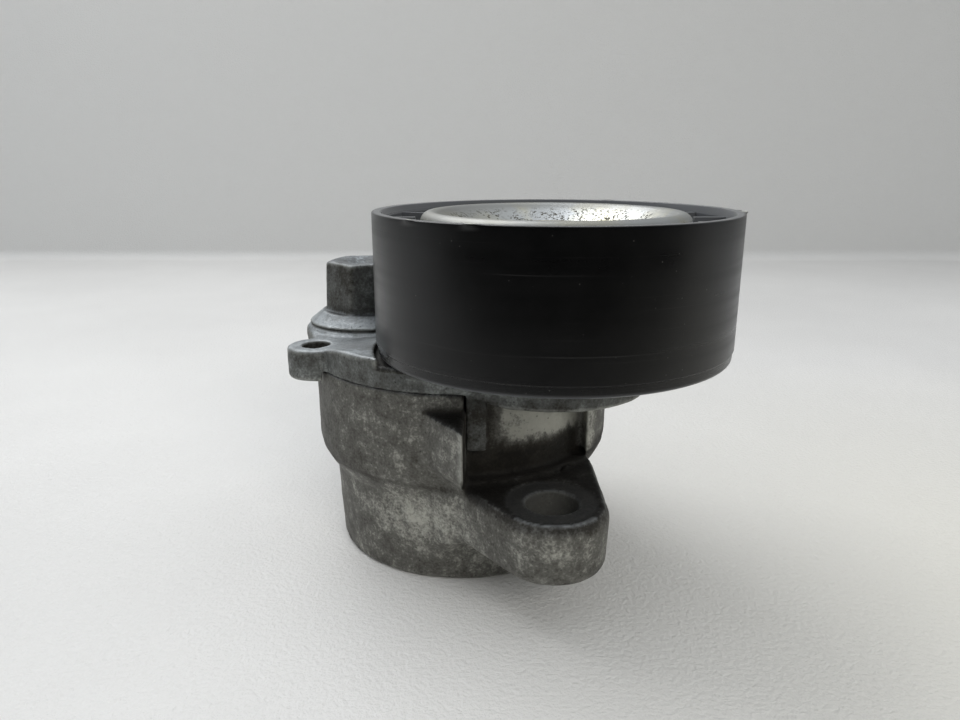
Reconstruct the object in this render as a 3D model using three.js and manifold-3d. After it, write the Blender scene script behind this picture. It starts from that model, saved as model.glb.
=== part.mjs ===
// Belt tensioner idler: a sprung arm on a cast drum carries a smooth plastic pulley.
// Millimetres, +Z up. The origin is on the arm's pivot axis, on the drum's underside.

import * as THREE from 'three';
import { mergeVertices } from 'three/addons/utils/BufferGeometryUtils.js';
import Module from 'manifold-3d';

const wasm = await Module();
wasm.setup();

// ---- Driving dimensions ------------------------------------------------------------------

const ROUND = 40; // sides of a full circle
const COARSE_ROUND = 24; // sides of a small or hidden circle
const BEARING_ROUND = 32; // sides of the bearing rings
const ARC_STEPS = 3; // sides of a rounded corner in a turned profile
const FIT = 0.1; // radial gap between pieces that are pressed or clamped together
const FACE_GAP = 0.05; // axial gap between stacked faces
const OVER = 1; // how far a cutter reaches past the face that it cuts

const PULLEY = { x: 19.9, y: -17.9, radius: 38, bottom: 50.7, top: 80 };
const ARM = { radius: 35, bottom: 44.9, top: 49.6, lobeBottom: 42 };
const DRUM = { footRadius: 30, neckRadius: 31.3, neckTop: 19.9, ringRadius: 35, top: 44.5 };
const CAVITY = { radius: 27.5, floor: 4 };
const EAR = { x: 18.5, y: -42.1, radius: 11.4, holeRadius: 5.28, bottom: 12.3, top: 25.3 };
const PIVOT = { shaftRadius: 6, postRadius: 9, postTop: 20, bushRadius: 7.55, hubRadius: 12 };
const BEARING = { bore: 8.5, outer: 20, bottom: 57.4, width: 12, pitch: 14.25, ball: 3.3, balls: 8 };
const HEX = { x: -23.9, y: 8.3, bottomRadius: 10.6, topRadius: 10.1, bottom: 54.6, top: 66, turn: 16 };
const LOCK_EAR = { x: -32.9, y: -12.7, radius: 6.4, holeRadius: 3.1, bottom: 42.5 };
const SPRING = { radius: 20, wire: 2.3, turns: 4.25, bottom: 8.6, top: 40.6 };
const BOLT = { radius: 5, headAcross: 16, headBottom: 70.2, headTop: 77.2, tip: 46.8 };

// ---- Materials ---------------------------------------------------------------------------

const finishes = {
  cast: { color: 0x8a8c8c, roughness: 0.62, metalness: 0.8 },
  steel: { color: 0x9a9ea2, roughness: 0.35, metalness: 1 },
  zinc: { color: 0xb9b8ab, roughness: 0.4, metalness: 0.9 },
  springSteel: { color: 0x3c3f42, roughness: 0.5, metalness: 0.9 },
  bronze: { color: 0x8d6b3c, roughness: 0.5, metalness: 0.9 },
  blackPlastic: { color: 0x141517, roughness: 0.38, metalness: 0 },
  polymer: { color: 0x2c2a26, roughness: 0.6, metalness: 0 },
  rubber: { color: 0x202020, roughness: 0.8, metalness: 0 },
};

// ---- Solids ------------------------------------------------------------------------------

function signedVolume(positions, triangles) {
  const a = new THREE.Vector3();
  const b = new THREE.Vector3();
  const c = new THREE.Vector3();
  let total = 0;
  for (const [i, j, k] of triangles) {
    a.fromArray(positions, 3 * i);
    b.fromArray(positions, 3 * j);
    c.fromArray(positions, 3 * k);
    total += a.dot(b.cross(c)) / 6;
  }
  return total;
}

// Makes a closed three.js geometry into a solid that can be joined and cut.
function toSolid(geometry) {
  const bare = geometry.clone();
  bare.deleteAttribute('normal');
  bare.deleteAttribute('uv');
  const merged = mergeVertices(bare, 1e-4);
  const positions = merged.getAttribute('position').array;
  const index = merged.index.array;
  let triangles = [];
  for (let i = 0; i < index.length; i += 3) {
    const [a, b, c] = index.slice(i, i + 3);
    if (a !== b && b !== c && c !== a) triangles.push([a, b, c]);
  }
  if (signedVolume(positions, triangles) < 0) triangles = triangles.map(([a, b, c]) => [a, c, b]);
  const vertProperties = new Float32Array(positions);
  const triVerts = new Uint32Array(triangles.flat());
  return new wasm.Manifold(new wasm.Mesh({ numProp: 3, vertProperties, triVerts }));
}

function toGeometry(solid) {
  const mesh = solid.getMesh();
  const geometry = new THREE.BufferGeometry();
  geometry.setAttribute('position', new THREE.BufferAttribute(mesh.vertProperties, 3));
  geometry.setIndex(new THREE.BufferAttribute(mesh.triVerts, 1));
  geometry.computeVertexNormals();
  return geometry;
}

const join = (first, ...rest) => rest.reduce((whole, piece) => whole.add(piece), first);
const cut = (first, ...rest) => rest.reduce((whole, piece) => whole.subtract(piece), first);

// Turns a profile of [radius, height] points round the vertical line through x, y.
function turned(profile, x = 0, y = 0, sides = ROUND) {
  const points = profile.map(([radius, height]) => new THREE.Vector2(radius, height));
  if (points[0].x > 0) points.push(points[0].clone());
  const geometry = new THREE.LatheGeometry(points, sides);
  geometry.rotateX(Math.PI / 2);
  geometry.translate(x, y, 0);
  return toSolid(geometry);
}

const disc = (radius, bottom, top, x = 0, y = 0, sides = ROUND) =>
  turned([[0, bottom], [radius, bottom], [radius, top], [0, top]], x, y, sides);

const washer = (inner, outer, bottom, top, x = 0, y = 0, sides = COARSE_ROUND) =>
  turned([[inner, bottom], [outer, bottom], [outer, top], [inner, top]], x, y, sides);

// Points on a circular arc in a profile, from one angle to another in degrees.
function arc(x, y, radius, from, to, steps = ARC_STEPS) {
  const points = [];
  for (let i = 0; i <= steps; i += 1) {
    const angle = THREE.MathUtils.degToRad(from + ((to - from) * i) / steps);
    points.push([x + radius * Math.cos(angle), y + radius * Math.sin(angle)]);
  }
  return points;
}

// Raises a flat outline of [x, y] points from one height to another.
function prism(outline, bottom, top) {
  const shape = new THREE.Shape(outline.map(([x, y]) => new THREE.Vector2(x, y)));
  const geometry = new THREE.ExtrudeGeometry(shape, { depth: top - bottom, bevelEnabled: false });
  geometry.translate(0, 0, bottom);
  return toSolid(geometry);
}

// The outline round two circles and their outer tangents; the first circle is the larger.
function beltOutline(big, small) {
  const away = Math.atan2(small.y - big.y, small.x - big.x);
  const apart = Math.hypot(small.x - big.x, small.y - big.y);
  const lean = THREE.MathUtils.radToDeg(Math.acos((big.radius - small.radius) / apart));
  const middle = THREE.MathUtils.radToDeg(away);
  const near = arc(big.x, big.y, big.radius, middle + lean, middle + 360 - lean, ROUND / 2);
  const far = arc(small.x, small.y, small.radius, middle - lean, middle + lean, ROUND / 3);
  return [...near, ...far];
}

// ---- Base --------------------------------------------------------------------------------

const POCKET = { wallRadius: 31.3, leftX: 1, rightX: 28 };
const GUSSET = { rootX: -6.7, rootY: -34.3, tipY: -45.2, top: 40.6, tipBottom: 30.6 };
const EAR_SIDE = { x: -2.5, y: -33.4, facing: 217.3 }; // root and outward direction of the slanted side

function drumProfile() {
  const footRound = arc(DRUM.footRadius - 1.5, 1.5, 1.5, -90, 0);
  return [
    [0, 0],
    ...footRound,
    [DRUM.neckRadius, DRUM.neckTop],
    [DRUM.ringRadius - 1.7, DRUM.neckTop + 2.6],
    [DRUM.ringRadius - 0.4, DRUM.neckTop + 5.2],
    [DRUM.ringRadius, DRUM.neckTop + 7.4],
    [DRUM.ringRadius, DRUM.top - 0.5],
    [DRUM.ringRadius - 0.5, DRUM.top],
    [CAVITY.radius, DRUM.top],
    [CAVITY.radius, CAVITY.floor + 1.5],
    [CAVITY.radius - 1.5, CAVITY.floor],
    [PIVOT.postRadius + 1, CAVITY.floor],
    [PIVOT.postRadius, CAVITY.floor + 1],
    [PIVOT.postRadius, PIVOT.postTop],
    [PIVOT.shaftRadius + FIT, PIVOT.postTop],
    [PIVOT.shaftRadius + FIT, CAVITY.floor / 2],
    [0, CAVITY.floor / 2],
  ];
}

// A mounting ear with its bolt hole, joined to the drum by a straight side and a slanted side.
function mountingEar() {
  const nose = arc(EAR.x, EAR.y, EAR.radius, EAR_SIDE.facing, 360, 12);
  const outline = [[EAR_SIDE.x, EAR_SIDE.y], ...nose, [EAR.x + EAR.radius, -20.5], [22, -18], [-2, -27.5]];
  const bevel = { bottom: 1.2, top: 2 };
  const inner = outline.map(([x, y]) => [x + (EAR.x - x) * 0.06, y + (EAR.y - y) * 0.06]);
  const body = join(
    prism(outline, EAR.bottom + bevel.bottom, EAR.top - bevel.top),
    prism(inner, EAR.bottom, EAR.top),
  );
  const spotFace = disc(9.35, EAR.top - 0.35, EAR.top + OVER, EAR.x, EAR.y, COARSE_ROUND);
  const hole = disc(EAR.holeRadius, 0, EAR.top + OVER, EAR.x, EAR.y, COARSE_ROUND);
  const drumRoom = disc(CAVITY.radius + 1.5, 0, EAR.top + OVER);
  return cut(body, spotFace, hole, drumRoom);
}

// The upright web that closes the stop pocket on its left and stands on the ear.
function gusset() {
  const outline = [
    [GUSSET.rootX, GUSSET.rootY],
    [POCKET.leftX, GUSSET.tipY],
    [POCKET.leftX, -30],
    [-4, -30],
  ];
  const web = prism(outline, EAR.top - OVER, GUSSET.top);
  const rise = GUSSET.tipBottom - EAR.top;
  const slope = [[0.2, -3], [8, -3], [8, 1.75 * rise], [0.2, 0.1 * rise]];
  const shape = new THREE.Shape(slope.map(([out, up]) => new THREE.Vector2(out, up)));
  const undercut = new THREE.ExtrudeGeometry(shape, { depth: 60, bevelEnabled: false });
  undercut.translate(0, 0, -30);
  undercut.rotateX(Math.PI / 2);
  undercut.rotateZ(THREE.MathUtils.degToRad(EAR_SIDE.facing));
  undercut.translate(EAR_SIDE.x, EAR_SIDE.y, EAR.top);
  return cut(web, toSolid(undercut));
}

// The gap in the drum's wide ring in which the arm's stop swings.
function pocketCutter() {
  const reach = 60;
  const { wallRadius, leftX, rightX } = POCKET;
  const wallEnd = (x) => -THREE.MathUtils.radToDeg(Math.acos(x / wallRadius));
  const wall = arc(0, 0, wallRadius, wallEnd(rightX), wallEnd(leftX), 16);
  return prism([...wall, [leftX, -reach], [rightX, -reach]], EAR.top + 0.1, DRUM.top + OVER);
}

function baseHousing() {
  const drum = cut(turned(drumProfile()), pocketCutter());
  const frontEar = mountingEar();
  const rearEar = toSolid(toGeometry(frontEar).rotateZ(Math.PI));
  return join(drum, frontEar, rearEar, gusset());
}

// ---- Arm ---------------------------------------------------------------------------------

const PEDESTAL = { radius: 12.5, top: 56.5, boltRadius: 5.2, boltFloor: 46.4 };
const COUNTERBORE = { radius: 10, floor: 47.6 };
const SEAL_GROOVE = { inner: 28.8, outer: 31.2, top: 45.8 };
const STOP = { inner: 31.8, outer: 34.8, from: -87.5, to: -80.3, bottom: 32.5 };

function hexBoss() {
  const skirtProfile = [
    [0, 46],
    [15.1, 46],
    [14.9, 51],
    [14.3, 52.1],
    [13.6, 52.3],
    [13.4, 53],
    [11, HEX.bottom],
    [0, HEX.bottom],
  ];
  const skirt = turned(skirtProfile, HEX.x, HEX.y);
  const height = HEX.top - HEX.bottom;
  const geometry = new THREE.CylinderGeometry(HEX.topRadius, HEX.bottomRadius, height, 6);
  geometry.rotateX(Math.PI / 2);
  geometry.rotateZ(THREE.MathUtils.degToRad(HEX.turn - 30));
  geometry.translate(HEX.x, HEX.y, HEX.bottom + height / 2 - FACE_GAP);
  const corners = turned(
    [[9.2, HEX.top + OVER], [9.2, HEX.top], [11.5, HEX.top - 1.6], [14, HEX.top + OVER]],
    HEX.x,
    HEX.y,
  );
  const recess = turned(
    [[0, HEX.top - 1.5], [4.6, HEX.top - 1.2], [5.8, HEX.top + 0.1], [0, HEX.top + OVER]],
    HEX.x,
    HEX.y,
    COARSE_ROUND,
  );
  return cut(join(skirt, toSolid(geometry)), corners, recess);
}

function stopTab() {
  const outline = [
    ...arc(0, 0, STOP.outer, STOP.from, STOP.to, 3),
    ...arc(0, 0, STOP.inner, STOP.to, STOP.from, 3),
  ];
  return prism(outline, STOP.bottom, ARM.top - 2);
}

// The raised land on the front of the plate, beside the pulley.
function plateLand() {
  const area = [[-40, -24], [-14, -4], [0, -4], [0, -40], [-40, -40]];
  const sheet = disc(ARM.radius - 0.7, ARM.top - OVER, ARM.top + 1.3);
  return sheet.intersect(prism(area, ARM.bottom, ARM.top + 2));
}

function tensionerArm() {
  const wideDisc = turned([
    [0, ARM.bottom],
    [ARM.radius, ARM.bottom],
    [ARM.radius, ARM.top - 0.7],
    [ARM.radius - 0.7, ARM.top],
    [0, ARM.top],
  ]);
  const plate = { x: 0, y: 0, radius: ARM.radius - 0.2 };
  const hexLobe = prism(beltOutline(plate, { ...HEX, radius: 15.3 }), ARM.bottom, ARM.top);
  const pulleyLobe = prism(beltOutline(plate, { ...PULLEY, radius: 20.75 }), ARM.lobeBottom, ARM.top);
  const lockEar = prism(beltOutline({ ...plate, radius: 16 }, LOCK_EAR), LOCK_EAR.bottom, ARM.top);
  const drumRoom = disc(ARM.radius + 0.8, ARM.lobeBottom - OVER, ARM.bottom);
  const flange = join(wideDisc, hexLobe, cut(join(pulleyLobe, lockEar), drumRoom), stopTab());
  const hub = disc(PIVOT.hubRadius, PIVOT.postTop + 1.1, ARM.bottom + OVER);
  const pedestalProfile = [
    [0, 48],
    [15, 48],
    [15, ARM.top],
    [13.2, 51],
    [PEDESTAL.radius, 53],
    [PEDESTAL.radius, PEDESTAL.top],
    [0, PEDESTAL.top],
  ];
  const pedestal = turned(pedestalProfile, PULLEY.x, PULLEY.y);
  const pulleyRoom = washer(15.6, 39, ARM.top, 90, PULLEY.x, PULLEY.y, ROUND);
  const boltHole = disc(PEDESTAL.boltRadius, PEDESTAL.boltFloor, 60, PULLEY.x, PULLEY.y, COARSE_ROUND);
  const lockHole = disc(LOCK_EAR.holeRadius, 40, 52, LOCK_EAR.x, LOCK_EAR.y, COARSE_ROUND);
  const bushBore = disc(PIVOT.bushRadius + FIT, 10, 60);
  const headRoom = disc(COUNTERBORE.radius, COUNTERBORE.floor, 60);
  const { inner, outer, top } = SEAL_GROOVE;
  const sealGroove = washer(inner, outer, ARM.bottom - OVER, top, 0, 0, ROUND);
  const castBody = cut(join(flange, plateLand(), hexBoss()), pulleyRoom);
  return cut(join(castBody, hub, pedestal), boltHole, lockHole, bushBore, headRoom, sealGroove);
}

// ---- Pivot and spring --------------------------------------------------------------------

const pivotShaft = () =>
  turned([[0, 2.1], [6, 2.1], [6, 49.1], [8, 49.1], [8, 49.9], [7.2, 50.4], [0, 50.4]], 0, 0, COARSE_ROUND);
const pivotBush = () => washer(6.06, PIVOT.bushRadius, 21.2, 47.5);
const thrustWasher = () => washer(6.15, 11.5, PIVOT.postTop + FACE_GAP, 21);
const retainingWasher = () => washer(6.15, 9.2, 47.65, 49.05);

// The centre line of a coil of constant pitch round the pivot axis.
class CoilCurve extends THREE.Curve {
  getPoint(t, target = new THREE.Vector3()) {
    const angle = 2 * Math.PI * SPRING.turns * t;
    const height = SPRING.bottom + (SPRING.top - SPRING.bottom) * t;
    return target.set(SPRING.radius * Math.cos(angle), SPRING.radius * Math.sin(angle), height);
  }
}

function torsionSpring() {
  const wire = new THREE.Shape();
  wire.absarc(0, 0, SPRING.wire, 0, 2 * Math.PI);
  const steps = Math.round(SPRING.turns * 20);
  return toSolid(
    new THREE.ExtrudeGeometry(wire, { steps, curveSegments: 3, extrudePath: new CoilCurve() }),
  );
}

const springSeat = () => washer(14.5, 24, CAVITY.floor + FACE_GAP, 6);

// A split ring: the gap lets it press outwards.
function splitRing(inner, outer, bottom, top) {
  const outline = [...arc(0, 0, outer, 20, 340, 30), ...arc(0, 0, inner, 340, 20, 30)];
  return prism(outline, bottom, top);
}

const damperRing = () => splitRing(24.5, 27.2, 30, 44.2);
const damperBand = () => splitRing(23.6, 24.2, 31, 43.5);
const dustSeal = () => washer(29.1, 30.9, DRUM.top + 0.1, SEAL_GROOVE.top - 0.1);

// ---- Pulley and bearing ------------------------------------------------------------------

const RIM = { inner: 35.4, ribTop: 78.5, ribs: 16, ribThickness: 1.8 };
const HUB = { inner: BEARING.outer + FIT, outer: 23.5, bottom: 55.5, top: 72 };
const WEB = { bottom: 62, top: 66 };

// A flat web that stands on a radius, given by its [radius, height] outline.
function radialRib(outline, angle) {
  const shape = new THREE.Shape(outline.map(([radius, height]) => new THREE.Vector2(radius, height)));
  const geometry = new THREE.ExtrudeGeometry(shape, { depth: RIM.ribThickness, bevelEnabled: false });
  geometry.translate(0, 0, -RIM.ribThickness / 2);
  geometry.rotateX(Math.PI / 2);
  geometry.rotateZ(angle);
  return toSolid(geometry);
}

function pulleyShell() {
  const { radius, bottom, top } = PULLEY;
  const body = turned([
    [HUB.inner, HUB.bottom],
    [HUB.outer, HUB.bottom],
    [HUB.outer, WEB.bottom],
    [RIM.inner, WEB.bottom],
    [RIM.inner, bottom + 0.5],
    [RIM.inner + 0.5, bottom],
    [radius - 0.8, bottom],
    [radius - 0.3, bottom + 0.5],
    [radius - 0.3, bottom + 2.2],
    [radius, bottom + 2.4],
    [radius, top - 0.5],
    [radius - 0.5, top],
    [RIM.inner + 0.3, top],
    [RIM.inner, top - 0.3],
    [RIM.inner - 0.4, WEB.top],
    [HUB.outer, WEB.top],
    [HUB.outer, HUB.top],
    [HUB.inner, HUB.top],
  ]);
  const ribEnd = RIM.inner + 0.5;
  const upper = [[22, 65], [ribEnd, 65], [ribEnd, RIM.ribTop], [29.2, RIM.ribTop], [28.7, 75.5], [22, 71]];
  const lower = [[22, 63], [22, 56], [ribEnd, 54.5], [ribEnd, 63]];
  const ribs = [];
  for (let i = 0; i < RIM.ribs; i += 1) {
    const angle = (2 * Math.PI * i) / RIM.ribs;
    ribs.push(radialRib(upper, angle), radialRib(lower, angle));
  }
  return join(body, ...ribs).subtract(disc(HUB.inner, 50, 75));
}

const BEARING_TOP = BEARING.bottom + BEARING.width;
const BALL_HEIGHT = BEARING.bottom + BEARING.width / 2;
const GROOVE_RADIUS = BEARING.ball + 0.22;
const SHOULDER = { outer: 16.9, inner: 11.6 };

// Half of the groove's height where it meets a shoulder of the given radius.
const grooveReach = (shoulder) =>
  THREE.MathUtils.radToDeg(Math.acos(Math.abs(shoulder - BEARING.pitch) / GROOVE_RADIUS));

function bearingOuterRing() {
  const reach = grooveReach(SHOULDER.outer);
  return turned([
    [SHOULDER.outer, BEARING.bottom + 0.1],
    [BEARING.outer, BEARING.bottom + 0.1],
    [BEARING.outer, BEARING_TOP - 0.1],
    [SHOULDER.outer, BEARING_TOP - 0.1],
    ...arc(BEARING.pitch, BALL_HEIGHT, GROOVE_RADIUS, reach, -reach, 4),
  ], 0, 0, BEARING_ROUND);
}

function bearingInnerRing() {
  const reach = grooveReach(SHOULDER.inner);
  return turned([
    [BEARING.bore, BEARING.bottom + FACE_GAP],
    [SHOULDER.inner, BEARING.bottom + FACE_GAP],
    ...arc(BEARING.pitch, BALL_HEIGHT, GROOVE_RADIUS, 180 + reach, 180 - reach, 4),
    [SHOULDER.inner, BEARING_TOP - FACE_GAP],
    [BEARING.bore, BEARING_TOP - FACE_GAP],
  ], 0, 0, BEARING_ROUND);
}

// Where ball number i runs, at rest.
function ballPlace(i) {
  const angle = (2 * Math.PI * i) / BEARING.balls;
  return [BEARING.pitch * Math.cos(angle), BEARING.pitch * Math.sin(angle), BALL_HEIGHT];
}

const ballGeometry = (radius) => new THREE.SphereGeometry(radius, 10, 6);

function bearingCage() {
  let cage = washer(13.3, 15.2, BALL_HEIGHT - 4.6, BALL_HEIGHT + 1.4);
  for (let i = 0; i < BEARING.balls; i += 1) {
    const pocket = ballGeometry(BEARING.ball + 0.25);
    pocket.translate(...ballPlace(i));
    cage = cage.subtract(toSolid(pocket));
  }
  return cage;
}

const bearingSeal = (bottom) => washer(11.9, 16.7, bottom, bottom + 0.7);
const bearingSpacer = () =>
  washer(5.2, BEARING.bore - FIT, BEARING.bottom + FACE_GAP, BEARING_TOP - FACE_GAP);

// Pressed steel dish: flat under the bolt head, then a cone up to a rolled crown.
function upperDustShield() {
  const thickness = 0.8;
  const crown = { x: 25.9, y: 77.7, radius: 2.2 };
  const seat = BEARING_TOP + FACE_GAP;
  return turned([
    [5.3, seat],
    [10.2, seat],
    ...arc(crown.x, crown.y, crown.radius - thickness, 135, 10),
    ...arc(crown.x, crown.y, crown.radius, 10, 135),
    [9.8, seat + thickness],
    [5.3, seat + thickness],
  ]);
}

const lowerDustShield = () =>
  turned([
    [5.3, 56.55],
    [12.7, 56.55],
    [13.3, 55.9],
    [19.2, 55.9],
    [19.2, 56.6],
    [13.6, 56.6],
    [13, 57.35],
    [5.3, 57.35],
  ], 0, 0, COARSE_ROUND);

// Flanged hexagon bolt that clamps both shields and the bearing's inner ring to the arm.
function pulleyBolt() {
  const { radius, headAcross, headBottom, headTop, tip } = BOLT;
  const flange = headBottom + 1.6;
  const profile = [
    [0, tip],
    [radius - 0.9, tip],
    [radius, tip + 0.9],
    [radius, headBottom + 0.1],
    [9, headBottom + 0.1],
    [9, headBottom + 0.8],
    [7.6, flange],
    [0, flange],
  ];
  const cornerRadius = headAcross / Math.sqrt(3);
  const headFoot = flange - 0.5;
  const head = new THREE.CylinderGeometry(cornerRadius, cornerRadius, headTop - headFoot, 6);
  head.rotateX(Math.PI / 2);
  head.translate(0, 0, (headTop + headFoot) / 2);
  return join(turned(profile, 0, 0, COARSE_ROUND), toSolid(head));
}

// ---- Assembly ----------------------------------------------------------------------------

const part = new THREE.Group();
part.name = 'belt_tensioner_idler';
const pulleyGroup = new THREE.Group();
pulleyGroup.name = 'pulley_axis';
pulleyGroup.position.set(PULLEY.x, PULLEY.y, 0);
part.add(pulleyGroup);

function add(group, name, solid, finish) {
  const mesh = new THREE.Mesh(toGeometry(solid), new THREE.MeshStandardMaterial(finishes[finish]));
  mesh.name = name;
  group.add(mesh);
}

add(part, 'base_housing', baseHousing(), 'cast');
add(part, 'tensioner_arm', tensionerArm(), 'cast');
add(part, 'pivot_shaft', pivotShaft(), 'steel');
add(part, 'pivot_bush', pivotBush(), 'bronze');
add(part, 'thrust_washer', thrustWasher(), 'polymer');
add(part, 'retaining_washer', retainingWasher(), 'steel');
add(part, 'torsion_spring', torsionSpring(), 'springSteel');
add(part, 'spring_seat', springSeat(), 'polymer');
add(part, 'damper_ring', damperRing(), 'polymer');
add(part, 'damper_band', damperBand(), 'springSteel');
add(part, 'dust_seal', dustSeal(), 'rubber');
add(pulleyGroup, 'pulley_shell', pulleyShell(), 'blackPlastic');
add(pulleyGroup, 'bearing_outer_ring', bearingOuterRing(), 'steel');
add(pulleyGroup, 'bearing_inner_ring', bearingInnerRing(), 'steel');
add(pulleyGroup, 'bearing_cage', bearingCage(), 'polymer');
add(pulleyGroup, 'bearing_seal_lower', bearingSeal(BEARING.bottom + 0.2), 'rubber');
add(pulleyGroup, 'bearing_seal_upper', bearingSeal(BEARING_TOP - 0.9), 'rubber');
add(pulleyGroup, 'bearing_spacer', bearingSpacer(), 'steel');
add(pulleyGroup, 'dust_shield_lower', lowerDustShield(), 'zinc');
add(pulleyGroup, 'dust_shield_upper', upperDustShield(), 'zinc');
add(pulleyGroup, 'pulley_bolt', pulleyBolt(), 'steel');

for (let i = 0; i < BEARING.balls; i += 1) {
  const ball = new THREE.Mesh(ballGeometry(BEARING.ball), new THREE.MeshStandardMaterial(finishes.steel));
  ball.name = `bearing_ball_${i + 1}`;
  ball.position.set(...ballPlace(i));
  pulleyGroup.add(ball);
}

export default part;
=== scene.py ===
from itertools import product
from math import acos, atan2, cos, degrees, exp, hypot, pi, radians, sin, tan

import bmesh
import bpy
import numpy as np
from mathutils import Matrix, Vector


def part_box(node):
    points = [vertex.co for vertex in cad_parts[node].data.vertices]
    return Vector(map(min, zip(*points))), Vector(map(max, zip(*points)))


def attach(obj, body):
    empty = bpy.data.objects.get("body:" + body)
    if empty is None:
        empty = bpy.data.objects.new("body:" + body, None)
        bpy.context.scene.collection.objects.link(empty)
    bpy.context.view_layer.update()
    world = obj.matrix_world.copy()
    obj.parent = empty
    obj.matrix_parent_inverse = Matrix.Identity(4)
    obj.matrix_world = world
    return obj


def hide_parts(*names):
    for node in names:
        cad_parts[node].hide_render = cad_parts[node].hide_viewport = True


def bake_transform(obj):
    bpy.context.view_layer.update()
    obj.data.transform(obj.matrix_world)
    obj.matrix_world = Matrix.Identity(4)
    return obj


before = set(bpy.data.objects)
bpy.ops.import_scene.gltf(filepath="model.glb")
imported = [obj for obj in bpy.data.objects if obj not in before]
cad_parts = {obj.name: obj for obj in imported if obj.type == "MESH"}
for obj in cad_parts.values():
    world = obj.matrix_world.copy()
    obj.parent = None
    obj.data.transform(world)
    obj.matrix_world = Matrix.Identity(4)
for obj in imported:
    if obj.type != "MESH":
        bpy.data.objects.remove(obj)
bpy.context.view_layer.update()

MM = 0.001


# ---- Driving dimensions (millimetres, row frame) ----

def box_mm(node):
    """Lowest and highest corner of a CAD node, in millimetres."""
    low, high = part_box(node)
    return np.array(low) / MM, np.array(high) / MM


pulley_low, pulley_high = box_mm("pulley_shell")
PULLEY_X, PULLEY_Y = (pulley_low[:2] + pulley_high[:2]) / 2
PULLEY_AXIS = (PULLEY_X, PULLEY_Y)
PULLEY_RADIUS = (pulley_high[0] - pulley_low[0]) / 2
PULLEY_BOTTOM, PULLEY_TOP = pulley_low[2], pulley_high[2]
RIM_INNER = PULLEY_RADIUS - 2.6
HUB_INNER, HUB_OUTER = 20.1, 23.5
WEB_BOTTOM, WEB_TOP = 62.0, 66.0
RIB_TOP = PULLEY_TOP - 1.5
RIBS, RIB_THICKNESS = 16, 1.8

base_low, base_high = box_mm("base_housing")
RING_RADIUS = (base_high[0] - base_low[0]) / 2
DRUM_TOP = base_high[2]
FOOT_RADIUS, NECK_RADIUS, NECK_TOP = 30.0, 31.3, 19.6
CAVITY_RADIUS, CAVITY_FLOOR = 27.5, 4.0
POCKET_WALL, POCKET_LEFT, POCKET_RIGHT = 31.3, 1.0, 28.0
EAR_X, EAR_Y, EAR_RADIUS, EAR_HOLE = 18.5, -42.1, 11.4, 5.28
EAR_BOTTOM, EAR_TOP = 12.3, 25.3
SPOT_FACE = 9.35
EAR_SIDE_X, EAR_SIDE_Y, EAR_SIDE_FACING = -2.5, -33.4, radians(217.3)
GUSSET_TOP, GUSSET_TIP_Y = 40.6, -45.2

arm_low, arm_high = box_mm("tensioner_arm")
PLATE_BOTTOM, PLATE_TOP, LOBE_BOTTOM = 44.9, 49.6, 42.0
HEX_X, HEX_Y, HEX_TURN = -23.9, 8.3, radians(16)
HEX_BOTTOM, HEX_TOP = 53.9, arm_high[2]
HEX_BOTTOM_RADIUS, HEX_TOP_RADIUS = 10.6, 10.1
HEX_CROWN, HEX_DIMPLE, HEX_DIMPLE_RISE = 9.8, 9.6, 8.0
LOCK_X, LOCK_Y, LOCK_RADIUS, LOCK_HOLE, LOCK_BOTTOM = -32.9, -12.7, 6.4, 3.1, 42.5
PULLEY_LOBE, HEX_LOBE = 20.75, 15.3
PULLEY_ROOM = PULLEY_RADIUS + 0.5
PIVOT_HUB, PIVOT_HUB_BOTTOM, PIVOT_BORE = 12.0, 21.1, 7.65
COUNTERBORE, COUNTERBORE_FLOOR = 10.0, 47.6
SEAL_GROOVE, SEAL_GROOVE_HALF, SEAL_GROOVE_TOP = 30.0, 1.2, 45.8
BOLT_HOLE, BOLT_HOLE_FLOOR = 5.2, 46.4
STOP_INNER, STOP_MIDDLE, STOP_OUTER, STOP_BOTTOM = 31.8, 33.0, 34.8, 32.5
STOP_START, STOP_END = radians(-87.5), radians(-80.3)
SEAM_LOW, SEAM_HIGH = DRUM_TOP + 0.28, PLATE_BOTTOM - 0.05

ABOVE = 90.0  # higher than anything here, where a cut has to run out of the top
FINE_SIDES, SIDES = 256, 128
COARSEN = 1.0


# ---- Outlines ----

def rounded(outline, steps=6):
    """A closed outline of (x, y, radius) corners, with each corner of some radius made an arc."""
    result = []
    for i, (x, y, radius) in enumerate(outline):
        if radius == 0:
            result.append((x, y))
            continue
        here = Vector((x, y))
        before = (Vector(outline[i - 1][:2]) - here).normalized()
        after = (Vector(outline[(i + 1) % len(outline)][:2]) - here).normalized()
        half = before.angle(after) / 2
        centre = here + (before + after).normalized() * radius / sin(half)
        start = here + before * radius / tan(half) - centre
        end = here + after * radius / tan(half) - centre
        sweep = -start.angle_signed(end)
        for k in range(steps + 1):
            spoke = Matrix.Rotation(sweep * k / steps, 2) @ start
            result.append(tuple(centre + spoke))
    return result


def arc(x, y, radius, start, end, steps):
    """Points on a circular arc between two angles in radians."""
    angles = [start + (end - start) * k / steps for k in range(steps + 1)]
    return [(x + radius * cos(a), y + radius * sin(a)) for a in angles]


def belt_outline(big, small):
    """The outline round two circles (x, y, radius) and their outer tangents."""
    away = atan2(small[1] - big[1], small[0] - big[0])
    apart = hypot(small[0] - big[0], small[1] - big[1])
    lean = acos((big[2] - small[2]) / apart)
    round_big = arc(*big, away + lean, away + 2 * pi - lean, 64)
    return round_big + arc(*small, away - lean, away + lean, 32)


def turns(count):
    """Angles spread evenly round a circle."""
    return [2 * pi * k / count for k in range(count)]


# ---- Distance fields (negative inside) ----

def unit(value):
    """The value, held between 0 and 1."""
    return np.clip(value, 0, 1)


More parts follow.
